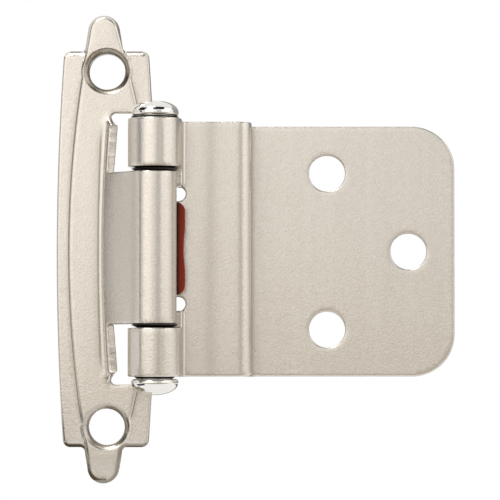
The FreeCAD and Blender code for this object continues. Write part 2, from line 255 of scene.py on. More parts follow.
def makeStage():
    size = stage["floorSize"]
    floorMesh = flatSheet("floor", size, size, cadLow.z - stage["floorGap"])
    finish = Finish(bpy.data.materials.new("floorPaint"))
    lit = finish.node("ShaderNodeBsdfDiffuse", {}, {"Color": stage["floorColour"]})
    white = finish.node("ShaderNodeEmission", {}, {"Color": grey(1.0), "Strength": stage["floorLevel"]})
    pale = paleRays(finish) * stage["floorShare"]
    shade = finish.node("ShaderNodeMixShader", {}, {0: pale, 1: lit, 2: white})
    floorMesh.materials.append(shown(finish, shade))
    linked("floor", floorMesh)

    world = bpy.data.worlds.new("surroundings")
    bpy.context.scene.world = world
    finish = Finish(world)
    light = finish.node("ShaderNodeBackground", {}, {"Color": grey(1.0), "Strength": stage["world"]})
    white = finish.node("ShaderNodeBackground", {}, {"Color": grey(1.0), "Strength": 1.0})
    shade = finish.node("ShaderNodeMixShader", {}, {0: paleRays(finish), 1: light, 2: white})
    finish.node("ShaderNodeOutputWorld", {}, {"Surface": shade})

    for name, (place, size, watts, colour, mirrored) in stage["lamps"].items():
        lampData = bpy.data.lights.new(name, "AREA")
        lampData.size = size
        lampData.energy = watts
        lampData.color = colour
        lamp = linked(name, lampData)
        lamp.location = place
        lamp.rotation_euler = towards(place)
        lamp.visible_glossy = mirrored

    cards = [(lookAt, card) for card in stage["cards"]]
    cards += [(Vector(stage["lowerHead"]), card) for card in stage["headCards"]]
    for index, (middle, (azimuth, elevation, distance, width, height, level)) in enumerate(cards):
        side, rise = math.radians(azimuth), math.radians(elevation)
        way = Vector((math.sin(side) * math.cos(rise), -math.cos(side) * math.cos(rise), math.sin(rise)))
        spread = [2 * distance * math.tan(math.radians(part) / 2) for part in (width, height)]
        card = mirrorCard("card%d" % index, *spread, stage["cardColour"], level)
        card.location = middle + way * distance
        card.rotation_euler = way.to_track_quat("Z", "Y").to_euler()
    for index, ((x, y), width, depth, colour) in enumerate(stage["floorCards"]):
        card = mirrorCard("floorCard%d" % index, width, depth, colour, 1.0)
        card.location = (x, y, cadLow.z + stage["floorGap"] * (index + 0.5))


makeStage()
print("stage and lamps set")


# Finishes
nickel = {
    "colour": (0.70, 0.655, 0.595),
    "dullColour": (0.64, 0.595, 0.535),
    # the colour of the shear marks, and the dark that the painted shade mixes towards
    "markAndShadeColour": (0.17, 0.14, 0.095, 1.0),
    "roughness": 0.26,
    "roughnessSpread": 0.12,
    "grain": 3600.0,
    "coarseGrain": 900.0,
    "patch": 90.0,
    "streak": (420.0, 420.0, 28.0),       # long marks up the sheet
    "shearMark": (500.0, 300.0, 5200.0),  # short marks across a sheared side
    "bumpStrength": 0.6,
    "bumpDepth": 0.000032,
    "edgeRadius": 0.00012,
}
nylon = {
    "fresh": (0.20, 0.020, 0.006, 1.0),
    "worn": (0.15, 0.012, 0.004, 1.0),
    "paintedShadow": (0.012, 0.006, 0.004, 1.0),
    "shadowEdge": (0.01075, 0.01125),     # where the painted shadow fades out, from left to right, m
    "shadowWander": 0.0004,
    "cloud": 350.0,
    "skin": 3000.0,
}
metals = {
    # two colours, clouding's scale each way, scratches' scale, roughness and its spread, bump and its depth
    "polishedNickelPlate": ((0.86, 0.835, 0.80, 1.0), (0.76, 0.735, 0.70, 1.0),
                            (500.0, 500.0, 500.0), 4000.0, 0.07, 0.05, 0.15, 0.000004),
    "oiledSpringSteel": ((0.40, 0.38, 0.36, 1.0), (0.30, 0.285, 0.27, 1.0),
                         (300.0, 300.0, 2500.0), 0, 0.26, 0.14, 0.3, 0.000006),
    # the pin's steel is made dark as painted shade, for the gaps where it shows
    "shadedPinSteel": ((0.10, 0.095, 0.09, 1.0), (0.05, 0.047, 0.045, 1.0),
                      (700.0, 700.0, 700.0), 0, 0.38, 0.1, 0.3, 0.000006),
}


def started(name):
    # a new material, and the place on the piece
    finish = Finish(bpy.data.materials.new(name))
    return finish, finish.node("ShaderNodeTexCoord", {}, {}, "Object")


def noise(finish, where, scale, detail=3.0):
    return finish.node("ShaderNodeTexNoise", {}, {"Vector": where, "Scale": scale, "Detail": detail})


def drawnOut(finish, where, scale):
    # noise with its own scale each way
    return noise(finish, finish.node("ShaderNodeMapping", {}, {"Vector": where, "Scale": scale}), 1.0)


def coated(finish, bump, values):
    raised = finish.node("ShaderNodeBump", {}, bump)
    return shown(finish, finish.node("ShaderNodeBsdfPrincipled", {}, dict(values, Normal=raised)))


def satinNickel(name, shade, lines):
    # shade: how bright the plating is, lines: strength of the shear marks across the sheet
    finish, where = started(name)
    grain = noise(finish, where, nickel["grain"], 2.0)
    coarse = noise(finish, where, nickel["coarseGrain"])
    streak = drawnOut(finish, where, nickel["streak"])
    patch = noise(finish, where, nickel["patch"])
    dull = patch * 0.25 + streak * 0.45 + coarse * 0.35 + grain * 1.3 - 0.675
    share = ramp(finish, dull, 0.2, 0.8)
    light, dark = [tuple(part * shade for part in nickel[key]) + (1.0,) for key in ("colour", "dullColour")]
    colour = mixed(finish, share, light, dark)
    height = grain * 0.9 + coarse * 0.18
    if lines:
        mark = drawnOut(finish, where, nickel["shearMark"])
        colour = mixed(finish, (mark - 0.35) * lines, colour, nickel["markAndShadeColour"])
        height = height + mark
    # the attribute read here holds the sheets' painted shade: dark creases, edge lines, dimple rings and
    # bands
    paintedShade = finish.node("ShaderNodeAttribute", {"attribute_name": "paintedShade"}, {}, "Fac")
    colour = mixed(finish, paintedShade, colour, nickel["markAndShadeColour"])
    roughness = nickel["roughness"] + (coarse * 0.6 + streak * 0.4 - 0.5) * nickel["roughnessSpread"]
    edge = finish.node("ShaderNodeBevel", {"samples": 4}, {"Radius": nickel["edgeRadius"]})
    bump = {"Strength": nickel["bumpStrength"], "Distance": nickel["bumpDepth"]}
    return coated(finish, dict(bump, Height=height, Normal=edge), {
        "Base Color": colour, "Metallic": 1.0, "Roughness": roughness})


def plainMetal(name):
    light, dark, scales, scratch, roughness, spread, strength, depth = metals[name]
    finish, where = started(name)
    cloud = drawnOut(finish, where, scales)
    height = noise(finish, where, scratch, 2.0) if scratch else cloud
    colour = mixed(finish, cloud, light, dark)
    return coated(finish, {"Strength": strength, "Distance": depth, "Height": height}, {
        "Base Color": colour, "Metallic": 1.0, "Roughness": roughness + cloud * spread})


def redNylon():
    finish, where = started("mouldedRedNylon")
    cloud = noise(finish, where, nylon["cloud"])
    skin = noise(finish, where, nylon["skin"], 2.0)
    fresh = mixed(finish, cloud, nylon["fresh"], nylon["worn"])
    # painted shadow: the side next to the barrel is darker, where the barrel shades it
    across = finish.node("ShaderNodeSeparateXYZ", {}, {"Vector": where}, "X")
    unshadowed = ramp(finish, across + cloud * nylon["shadowWander"], *nylon["shadowEdge"])
    colour = mixed(finish, unshadowed, nylon["paintedShadow"], fresh)
    return coated(finish, {"Strength": 0.4, "Distance": 0.00001, "Height": skin}, {
        "Base Color": colour, "Roughness": 0.52 + cloud * 0.12, "Specular IOR Level": 0.15})


satinFinish = satinNickel("satinNickelPlate", 1.0, 0.0)
shearedFinish = satinNickel("shearedNickelSide", 0.86, 1.1)
shadedPinFinish = plainMetal("shadedPinSteel")
polishedFinish = plainMetal("polishedNickelPlate")
nylonFinish = redNylon()
steelFinish = plainMetal("oiledSpringSteel")
print("finishes made")


# Pressed sheet: a flat pattern is triangulated, given two faces, and bent into shape
press = {
    "edgeRound": 0.26,      # rolled edge of every sheared side, mm
    "rows": (0.02, 0.08, 0.17, 0.26),  # where points follow a sheared side, mm
    "fill": 0.62,           # spacing of the points between, mm
    "clear": 0.3,           # room that they leave round the other points, mm
    "step": 0.3,            # longest step along the wing's sides, mm
    "cell": 0.4,            # size of the cells in which near points are looked up, mm
}


def arcPoints(centre, radius, start, end, count):
    # points along an arc, angles in degrees
    turns = [math.radians(start + (end - start) * index / count) for index in range(count + 1)]
    return [(centre[0] + radius * math.cos(turn), centre[1] + radius * math.sin(turn)) for turn in turns]


def spaced(line, step):
    # the same line with points no further apart than one step
    result = [line[0]]
    for start, end in zip(line, line[1:]):
        count = max(1, math.ceil(math.dist(start, end) / step))
        for index in range(1, count + 1):
            part = index / count
            result.append((start[0] + (end[0] - start[0]) * part, start[1] + (end[1] - start[1]) * part))
    return result


def roundedLine(corners, radii, step=0.16):
    # a line through corners, each inner corner rounded by its radius
    result = [corners[0]]
    for before, corner, after, radius in zip(corners, corners[1:], corners[2:], radii):
        if radius <= 0:
            result.append(corner)
            continue
        back = (Vector(before) - Vector(corner)).normalized()
        ahead = (Vector(after) - Vector(corner)).normalized()
        half = back.angle(ahead) / 2
        centre = Vector(corner) + (back + ahead).normalized() * (radius / math.sin(half))
        enter = Vector(corner) + back * (radius / math.tan(half))
        leave = Vector(corner) + ahead * (radius / math.tan(half))
        start = math.atan2(*(enter - centre).yx)
        turn = math.remainder(math.atan2(*(leave - centre).yx) - start, 2 * math.pi)
        count = max(3, math.ceil(abs(turn) * radius / step))
        for index in range(count + 1):
            angle = start + turn * index / count
            result.append((centre.x + radius * math.cos(angle), centre.y + radius * math.sin(angle)))
    result.append(corners[-1])
    return result


def moved(line, distance, closed=False):
    # a line set over to its left by a distance
    count = len(line)
    result = []
    for index in range(count):
        before = line[index - 1] if index or closed else line[0]
        after = line[(index + 1) % count] if index < count - 1 or closed else line[-1]
        way = Vector(after) - Vector(before)
        if way.length < 1e-9:
            way = Vector(line[min(index + 1, count - 1)]) - Vector(line[index])
        way.normalize()
        result.append((line[index][0] - way.y * distance, line[index][1] + way.x * distance))
    return result


def toLines(points, lines, upright=False):
    # distance of each point to the nearest of some lines, and how upright the way there is
    best = np.full(len(points), 1e9)
    rise = np.zeros(len(points))
    for line in lines:
        spots = np.array(line)
        for start, step in zip(spots, np.diff(spots, axis=0)):
            part = np.clip(((points - start) @ step) / max(step @ step, 1e-12), 0, 1)
            away = points - start - part[:, None] * step
            distance = np.hypot(*away.T)
            nearer = distance < best
            best = np.where(nearer, distance, best)
            rise = np.where(nearer, np.abs(away[:, 1]) / np.maximum(distance, 1e-9), rise)
    return (best, rise) if upright else best


def within(points, loops):
    # whether each point is inside the first loop and outside the others
    inside = np.zeros(len(points), bool)
    for loop in loops:
        spots = np.array(loop)
        for (x1, z1), (x2, z2) in zip(spots, np.roll(spots, -1, 0)):
            if z1 != z2:
                crosses = (z1 > points[:, 1]) != (z2 > points[:, 1])
                inside ^= crosses & (points[:, 0] < (x2 - x1) * (points[:, 1] - z1) / (z2 - z1) + x1)
    return inside


def curveFall(distance, radius):
    # how far a rounded edge has fallen at a distance from the side
    part = 1 - np.clip(distance / radius, 0, 1)
    return radius * (1 - np.sqrt(np.clip(1 - part * part, 0, 1)))


def smooth(value):
    part = np.clip(value, 0, 1)
    return part * part * (3 - 2 * part)


def pressedSheet(name, loops, extra, place, shadeOf):
    # loops: outline, then holes. extra: points to keep. place: gives both faces for the points.
    # the last argument: painted shade, how dark the front face is at the points
    flat = []
    edges = []
    for loop in loops:
        first = len(flat)
        flat += loop
        edges += [(first + index, first + (index + 1) % len(loop)) for index in range(len(loop))]
    outline = [loop + loop[:1] for loop in loops]
    low = np.min(loops[0], axis=0)
    high = np.max(loops[0], axis=0)
    step = press["fill"]
    grid = [(x + (row % 2) * step / 2, z)
            for row, z in enumerate(np.arange(low[1], high[1], step * 0.87))
            for x in np.arange(low[0], high[0], step)]
    extra = np.array(extra)
    extra = extra[within(extra, loops) & (toLines(extra, outline) > 0.02)]
    grid = np.array(grid)
    grid = grid[within(grid, loops) & (toLines(grid, outline) > press["clear"])]
    cell = press["cell"]
    cells = {}
    for x, z in extra:
        cells.setdefault((round(x / cell), round(z / cell)), []).append((x, z))
    clear = []
    for x, z in grid:
        column, row = round(x / cell), round(z / cell)
        near = [spot for i in (-1, 0, 1) for j in (-1, 0, 1)
                for spot in cells.get((column + i, row + j), [])]
        if all(math.dist((x, z), spot) > press["clear"] for spot in near):
            clear.append((x, z))
    flat = [Vector(spot) for spot in flat + [tuple(spot) for spot in extra] + clear]
    spots, _, faces, _, _, _ = delaunay_2d_cdt(flat, edges, [], 0, 1e-5)
    points = np.array([tuple(spot) for spot in spots])
    faces = np.array(faces)
    faces = faces[within(points[faces].mean(1), loops)]
    front, back = place(points)
    count = len(points)
    sides = dict.fromkeys((a, b) for face in faces.tolist() for a, b in zip(face, face[1:] + face[:1]))
    bare = [(a, b) for a, b in sides if (b, a) not in sides]
    allFaces = faces.tolist() + (faces[:, ::-1] + count).tolist()
    allFaces += [(b, a, a + count, b + count) for a, b in bare]
    mesh = bpy.data.meshes.new(name)
    mesh.from_pydata((np.vstack([front, back]) * mm).tolist(), [], allFaces)
    # painted shade on the front face, none on the back
    paintedShade = mesh.attributes.new("paintedShade", "FLOAT", "POINT")
    paintedShade.data.foreach_set("value", np.concatenate([np.clip(shadeOf(points), 0, 1), np.zeros(count)]))
    for face in mesh.polygons[-len(bare):]:
        face.material_index = 1  # sheared side
    return mesh


# Frame wing: one pressed sheet with a raised field, rolled edge, two dimpled holes and the hump
wing = {
    "shift": -0.12, "halfMiddle": 7.35, "halfEnd": 6.3,
    "tip": 34.925, "shoulder": 29.525, "shoulderRadius": 1.0, "cornerRoom": 1.3,
    "rimHeight": 2.4, "rimRound": 0.32, "rimRoundEnds": 0.62, "rimWall": 1.0,
    "fieldHeight": 2.8, "fieldRound": 0.42, "fieldLeft": 5.72, "fieldRight": 6.75, "waist": 27.925,
    "finialShift": -0.5, "finialHalf": 3.1, "finialRoot": 28.025, "finialRadius": 2.35,
    "finialRootRadius": 0.75, "finialInset": 0.28, "finialRound": 1.15,
    "screwZ": 26.5, "screwRadius": 2.7, "dimpleRadius": 3.5, "dimpleDepth": 0.66, "collar": 1.15,
    "sheet": 1.0, "seam": 0.06, "innerEdge": 0.07,
}
hump = {
    "pinX": 7.3, "pinY": -7.3, "outer": 3.22, "end": 70.0,
    "bend": -0.75, "bow": 0.75, "bendRadius": 0.8, "lead": 1.6, "waist": 5.2,
    "stubReach": 1.2, "stubSlant": 0.75, "stubHalf": 18.35, "barrelHalf": 11.3,
    "slotTop": 20.2, "slotLeft": 0.5, "swell": 0.26,
}
wingShadeLines = {
    # painted shade as dark lines and bands at the creases, the hump's foot, the rim and the lower edges:
    # half width in mm, strength
    "crease": (0.11, 0.50), "creaseHaze": (0.45, 0.08), "foot": (0.15, 0.58), "footHaze": (0.8, 0.22),
    "rim": (0.10, 0.55), "lowerRoll": (0.62, 0.85),
    # painted shade in the dimple rings, more on the upper ones, and over the lower finial
    "ring": 0.46, "ringUpper": 0.12, "lowerTip": 0.22, "footBack": 0.50, "footBow": 0.55,
}
wingRows = {
    # where points follow the rim, the field's side and the screw holes, mm
    "rim": (0.016, 0.06, 0.13, 0.22, 0.32, 0.45, 0.62, 0.8, 0.95, 1.06, 1.17, 1.34),
    "field": (-0.10, -0.045, 0.0, 0.03, 0.08, 0.16, 0.27, 0.42, 0.8, 1.0, 1.2),
    "hole": (2.73, 2.78, 2.9, 3.1, 3.28, 3.37, 3.43, 3.5, 3.57, 3.63, 3.72, 3.86, 3.95, 4.08, 4.2),
    # spacing along and across, and how far up and down
    "foot": (0.14, 0.4, 18.2), "barrel": (0.2, 0.55, 11.0),
}


def bowLine(middle, end, endZ, count=120):
    # one bowed side, from the bottom to the top, as (x, z)
    rise = end - middle
    radius = (rise * rise + endZ * endZ) / (2 * abs(rise))
    side = 1 if rise > 0 else -1
    heights = [endZ * (2 * index / count - 1) for index in range(count + 1)]
    return [(middle + side * (radius - math.sqrt(radius * radius - z * z)), z) for z in heights]


def touchPoint(half, rootZ, centreZ, radius):
    # where a finial's side meets its round tip
    rise = rootZ - centreZ
    turn = math.atan2(rise, half) + math.acos(radius / math.hypot(half, rise))
    return radius * math.cos(turn), centreZ + radius * math.sin(turn), math.degrees(turn)


def finialLine():
    # the upper finial from its right root to its left root
    centreZ = wing["tip"] - wing["finialRadius"]
    x, z, turn = touchPoint(wing["finialHalf"], wing["finialRoot"], centreZ, wing["finialRadius"])
    tip = arcPoints((wing["finialShift"], centreZ), wing["finialRadius"], turn, 180 - turn, 26)
    shift, half, root = wing["finialShift"], wing["finialHalf"], wing["finialRoot"]
    return [(shift + half, root)] + tip + [(shift - half, root)]


def rimLine():
    # the wing's outline, from the slot up and round to the lower slot
    middle, end, shoulder = wing["halfMiddle"], wing["halfEnd"], wing["shoulder"]
    right = bowLine(wing["shift"] + middle, wing["shift"] + end, shoulder)
    left = bowLine(wing["shift"] - middle, wing["shift"] - end, shoulder)
    corner = shoulder - wing["cornerRoom"]
    upper = [spot for spot in right if hump["slotTop"] + 0.1 < spot[1] < corner]
    start = (float(np.interp(hump["slotTop"], *np.array(right).T[::-1])), hump["slotTop"])
    finial = finialLine()
    rootX = float(np.interp(shoulder, *np.array(finial[:2]).T[::-1]))
    rootLeft = 2 * wing["finialShift"] - rootX
    ends = [wing["shoulderRadius"], wing["finialRootRadius"]]
    corners = [start] + upper + [(right[-1][0], shoulder), (rootX, shoulder)]
    radii = [0] * len(upper) + ends
    corners += finial[1:-1]
    radii += [0] * (len(finial) - 2)
    corners += [(rootLeft, shoulder), (left[-1][0], shoulder)]
    radii += ends[::-1]
    half = [spot for spot in left[::-1] if 0 < spot[1] < corner]
    corners += half
    radii += [0] * len(half)
    top = roundedLine(corners, radii[:len(corners) - 2])
    bottom = [(x, -z) for x, z in top[::-1]]
    return spaced(top + [left[len(left) // 2]] + bottom, press["step"])


def sideLean(middle, centreX, centreZ, radius):
    # lean of the straight that touches a side's bow and the tip's circle
    low, high = 0.0, math.pi / 3
    for attempt in range(50):
        lean = (low + high) / 2
        touchX = centreX + radius * math.cos(lean)
        rise = centreZ + radius * math.sin(lean) - wing["waist"]
        if touchX + rise * math.tan(lean) + wing["waist"] * math.tan(lean / 2) < middle:
            low = lean
        else:
            high = lean
    return lean


def fieldLine():
    # the raised field's closed outline, anticlockwise
    radius = wing["finialRadius"] - wing["finialInset"]
    centreZ = wing["tip"] - wing["finialRadius"]
    sides = []
    shift = wing["finialShift"]
    for middle, centreX in ((wing["fieldRight"], shift), (wing["fieldLeft"], -shift)):
        lean = sideLean(middle, centreX, centreZ, radius)
        touchX = centreX + radius * math.cos(lean)
        touchZ = centreZ + radius * math.sin(lean)
        waistX = touchX + (touchZ - wing["waist"]) * math.tan(lean)
        sides.append((math.degrees(lean), bowLine(middle, waistX, wing["waist"])))
    (rightLean, right), (leftLean, left) = sides
    top = arcPoints((shift, centreZ), radius, rightLean, 180 - leftLean, 30)
    bottom = [(x, -z) for x, z in top[::-1]]
    mirrored = [(-x, z) for x, z in left[::-1]]
    return spaced(right + top + mirrored + bottom + [right[0]], press["step"])[:-1]


# the hump's face leaves its bend for the barrel, which it touches at humpTouch
pinPlace = Vector((hump["pinX"], hump["pinY"]))
humpFoot = Vector((hump["bend"], -wing["fieldHeight"]))
fromPin = humpFoot - pinPlace
humpTurn = math.atan2(fromPin.y, fromPin.x) + math.acos(hump["outer"] / math.hypot(*fromPin))
humpWay = Vector((-math.sin(humpTurn), math.cos(humpTurn)))
humpWaist = humpFoot + humpWay * hump["waist"]
humpTouch = pinPlace + Vector((math.cos(humpTurn), math.sin(humpTurn))) * hump["outer"]
humpLead = hump["bend"] - hump["lead"]


def humpRun(bow):
    # the foot of the hump's front face as a dense line from the lead to the waist
    level = -wing["fieldHeight"]
    corners = [(humpLead, level), (hump["bend"] + bow, level), tuple(humpWaist)]
    return roundedLine(corners, [hump["bendRadius"]], 0.03)


def lengthsAlong(line):
    # how far along a line each of its points lies
    return np.concatenate([[0], np.cumsum([math.dist(a, b) for a, b in zip(line, line[1:])])])


footLength = lengthsAlong(humpRun(0))[-1]
waistU = humpLead + footLength
slopeLength = (humpTouch - humpWaist).length
touchU = waistU + slopeLength
humpEndU = touchU + hump["outer"] * (math.radians(hump["end"]) - (humpTurn - 2 * math.pi))
bowedLength = lengthsAlong(humpRun(hump["bow"]))[-1]
stubU = humpLead + bowedLength - hump["waist"] + hump["stubReach"] + hump["bow"] * 0.3


def humpTable(bow, samples=400):
    # place and front normal for even steps from the lead to the waist
    line = spaced(humpRun(bow), 0.01)
    lengths = lengthsAlong(line)
    even = np.linspace(0, lengths[-1], samples)
    x = np.interp(even, lengths, [spot[0] for spot in line])
    y = np.interp(even, lengths, [spot[1] for spot in line])
    dx, dy = np.gradient(x), np.gradient(y)
    size = np.hypot(dx, dy)
    return x, y, -dy / size, dx / size


def bowShare(z):
    # how much of its bow the hump's foot has at a height
    return np.clip((z / hump["stubHalf"]) ** 2, 0, 1)


def humpPlace(u, z, depth):
    # where a point of the sheet lies, from its way along, its height and its depth behind the front
    tables = [humpTable(bow) for bow in np.linspace(0, hump["bow"], 9)]
    bow = bowShare(z) * (len(tables) - 1)
    part = np.clip((u - humpLead) / footLength, 0, 1)
    stack = np.zeros((4, len(u)))
    for index, table in enumerate(tables):
        weight = np.clip(1 - np.abs(bow - index), 0, 1)
        even = np.linspace(0, 1, len(table[0]))
        stack += [weight * np.interp(part, even, row) for row in table]
    x, y, nx, ny = stack
    # the barrel's front is a little flatter than a true cylinder
    depth = depth - hump["swell"] * np.exp(-((u - touchU - 0.5) / 1.6) ** 2)
    slope = np.clip(u - waistU, 0, slopeLength)
    x += humpWay.x * slope
    y += humpWay.y * slope
    turn = humpTurn + np.clip(u - touchU, 0, None) / hump["outer"]
    rolled = u > touchU
    across, down = np.cos(turn), np.sin(turn)
    barrel = (hump["pinX"] + hump["outer"] * across, hump["pinY"] + hump["outer"] * down, -across, -down)
    x, y, nx, ny = [np.where(rolled, new, old) for new, old in zip(barrel, (x, y, nx, ny))]
    return x + nx * depth, y + ny * depth


rim = rimLine()
field = fieldLine()
slotRadius = (hump["slotTop"] - hump["stubHalf"]) / 2
slotCentre = (hump["slotLeft"] + slotRadius, (hump["slotTop"] + hump["stubHalf"]) / 2)


def slotSide():
    # the cut side, from the upper slot's outer end round the hump's flat pattern to the lower slot's
    half = hump["barrelHalf"]
    upper = [(rim[0][0], hump["slotTop"])]
    upper += arcPoints(slotCentre, slotRadius, 90, 270, 18)
    stub = hump["stubHalf"]
    corners = [(slotCentre[0], stub), (stubU + 0.1, stub), (stubU - 0.35, half)]
    corners += [(humpEndU, half), (humpEndU, 0)]
    upper += roundedLine(corners, [0.25, 0.12, 0.3])
    return spaced(upper + [(x, -z) for x, z in upper[::-1][1:]], press["step"])


def hole(x, z, radius, count=56):
    return arcPoints((x, z), radius, 0, 360, count)[:-1]


cut = slotSide()
# the rim runs anticlockwise from the upper slot, so the cut side is walked back
wingOutline = rim + cut[::-1][1:-1]
screwHoles = [hole(0, side * wing["screwZ"], wing["screwRadius"]) for side in (1, -1)]


def holeReach(points):
    u, z = points.T
    return np.hypot(u, np.abs(z) - wing["screwZ"])


def softLine(distance, mark, power=2):
    # strength of a soft line at a distance from its middle
    width, strength = mark
    return np.exp(-(distance / width) ** power) * strength


def wingPaintedShade(points):
    # painted shade: dark lines in the creases round the field, at the hump's foot and at the rim, and
    # darker lower edges, dimple rings and lower finial
    u, z = points.T
    away = np.abs(z)
    fromField = toLines(points, [field + [field[0]]])
    reach = holeReach(points)
    shadeLines = wingShadeLines
    crease = softLine(fromField, shadeLines["crease"]) + softLine(fromField, shadeLines["creaseHaze"])
    crease *= 1 - smooth((away - wing["shoulder"] + 0.4) / 0.8)
    crease *= smooth((reach - wing["dimpleRadius"] - 0.15) / 0.5)
    crease *= (u < humpLead) | (away > hump["slotTop"])
    fromFoot = u - hump["bend"] - hump["bow"] * bowShare(z) * shadeLines["footBow"] + shadeLines["footBack"]
    foot = softLine(fromFoot, shadeLines["foot"]) + softLine(fromFoot, shadeLines["footHaze"]) * (fromFoot < 0.1)
    foot *= smooth((hump["stubHalf"] + 0.3 - away) / 3.0) * (crease < 0.3)
    fromRim = toLines(points, [rim])
    low = smooth((-z - wing["shoulder"] + 1.2) / 0.8)
    roll = np.maximum(softLine(fromRim, shadeLines["rim"]), softLine(fromRim, shadeLines["lowerRoll"], 4) * low)
    ring = shadeLines["ring"] + shadeLines["ringUpper"] * np.sign(z)
    ring = ring * smooth((wing["dimpleRadius"] + 0.05 - reach) / 0.12)
    tip = smooth((-z - wing["shoulder"] + 1.5) / 3.0) * shadeLines["lowerTip"]
    return np.maximum.reduce([crease, foot, roll, ring, tip])


def wingFaces(points):
    u, z = points.T
    away = np.abs(z)
    full, low, dimple, screw = [
        wing[key] for key in ("fieldHeight", "rimHeight", "dimpleRadius", "screwRadius")]
    fromRim, upright = toLines(points, [rim], True)
    fromField = toLines(points, [field + [field[0]]])
    fromField = np.where(within(points, [field]), fromField, -fromField)
    # the field swells round each screw hole, and runs out into the finials
    rho = holeReach(points)
    fromField = np.maximum(fromField, dimple + 0.3 - rho)
    finial = smooth((away - wing["shoulder"] + 0.5) / 1.6)
    cutFall = curveFall(toLines(points, [cut]), press["edgeRound"])
    onHump = (u > humpLead) & (away <= hump["stubHalf"] + 1e-6)
    # front: rolled rim, raised field with a rounded side, dimples
    roll = wing["rimRound"] + wing["rimRoundEnds"] * smooth(upright * 1.2) * (away > wing["shoulder"] - 2)
    roll = roll + (wing["finialRound"] - roll) * finial
    rimTop = low + (full - low) * finial - curveFall(fromRim, roll)
    side = np.clip(fromField, -0.2, None)
    fieldTop = np.where(side > 0, full - curveFall(side, wing["fieldRound"]),
                        full - wing["fieldRound"] + side * 8)
    blend = np.clip(0.5 + 0.5 * (fieldTop - rimTop) / wing["seam"], 0, 1)
    front = rimTop + (fieldTop - rimTop) * blend + wing["seam"] * blend * (1 - blend)
    front = np.where(onHump, full, front)
    # the cone starts shallow and steepens towards the hole
    sink = np.clip((dimple - rho) / (dimple - screw), 0, None)
    front = front - wing["dimpleDepth"] * (0.45 * sink + 0.55 * sink * sink) - cutFall
    # back: open behind the field, with walls down to the cabinet at the rim and the screw collars
    wall = smooth((fromRim - wing["rimWall"]) / 0.35)
    collar = smooth((rho - screw - wing["collar"]) / 0.35)
    hollow = low - wing["sheet"] + (full - low) * smooth((fromField - 0.8) / 0.4)
    back = np.where(onHump, full - wing["sheet"], hollow * wall * collar)
    back = back + np.where(onHump | (fromRim > 1.5), cutFall, 0)
    # the holes' lower edge is broken, and the stub's sheared side leans
    front -= curveFall(np.clip(rho - screw, 0, None), wing["innerEdge"])
    stub = smooth(1 - (stubU - u) / 1.1) * (onHump & (away > hump["barrelHalf"] + 0.05))
    slant = stub * hump["stubSlant"] * smooth((hump["stubHalf"] + 0.3 - away) / 0.6)
    faces = []
    lift = smooth((hump["slotTop"] - away) / (hump["slotTop"] - hump["stubHalf"]))
    lift = np.where(u > humpLead, lift, 0)
    for level, lean in ((front, -0.35 * slant), (back, 0.65 * slant)):
        depth = full - level
        bentX, bentY = humpPlace(u + lean, z, depth)
        x = u + (bentX - u) * lift
        y = -level + (bentY + level) * lift
        faces.append(np.column_stack([x, y, z]))
    return faces


def rows(starts, across, reach):
    # points in rows up the sheet, on both sides of the middle
    return [(u, z) for u in starts for z in np.arange(-reach, reach + 0.1, across)]


def wingPoints():
    keep = []
    for offset in wingRows["rim"]:
        keep += moved(rim, offset)
    for offset in wingRows["field"]:
        keep += moved(field, offset, closed=True)
    for offset in press["rows"]:
        keep += moved(cut[::-1], offset)
    for side in (1, -1):
        for radius in wingRows["hole"]:
            keep += hole(0, side * wing["screwZ"], radius)
    along, across, reach = wingRows["foot"]
    keep += rows(np.arange(humpLead, waistU, along), across, reach)
    along, across, reach = wingRows["barrel"]
    return keep + rows(np.arange(touchU - along, humpEndU, along), across, reach)


def finished(name, mesh, material, body, node, smoothAngle=35, bend=None):
    # a piece that stands for a CAD node, with closed seams and outward faces; with bend given, its values
    # are not used: the piece then joins no body and keeps its place baked into its mesh
    shape = bmesh.new()
    shape.from_mesh(mesh)
    bmesh.ops.remove_doubles(shape, verts=shape.verts, dist=2e-6)
    bmesh.ops.recalc_face_normals(shape, faces=shape.faces)
    shape.to_mesh(mesh)
    print(name, "open edges", sum(not edge.is_manifold for edge in shape.edges), "faces", len(shape.faces),
          "volume", round(shape.calc_volume() * 1e9, 1))
    shape.free()
    for face in mesh.polygons:
        face.use_smooth = True
    mesh.set_sharp_from_angle(angle=math.radians(smoothAngle))
    piece = linked(name, mesh)
    for part in material if isinstance(material, tuple) else (material,):
        mesh.materials.append(part)
    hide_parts(node)
    if bend:
        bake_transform(piece)
    else:
        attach(piece, body)


wingMesh = pressedSheet("framePlate", [wingOutline] + screwHoles, wingPoints(), wingFaces, wingPaintedShade)
finished("framePlate", wingMesh, (satinFinish, shearedFinish), "frame", "frame_wing")
print("frame wing pressed")


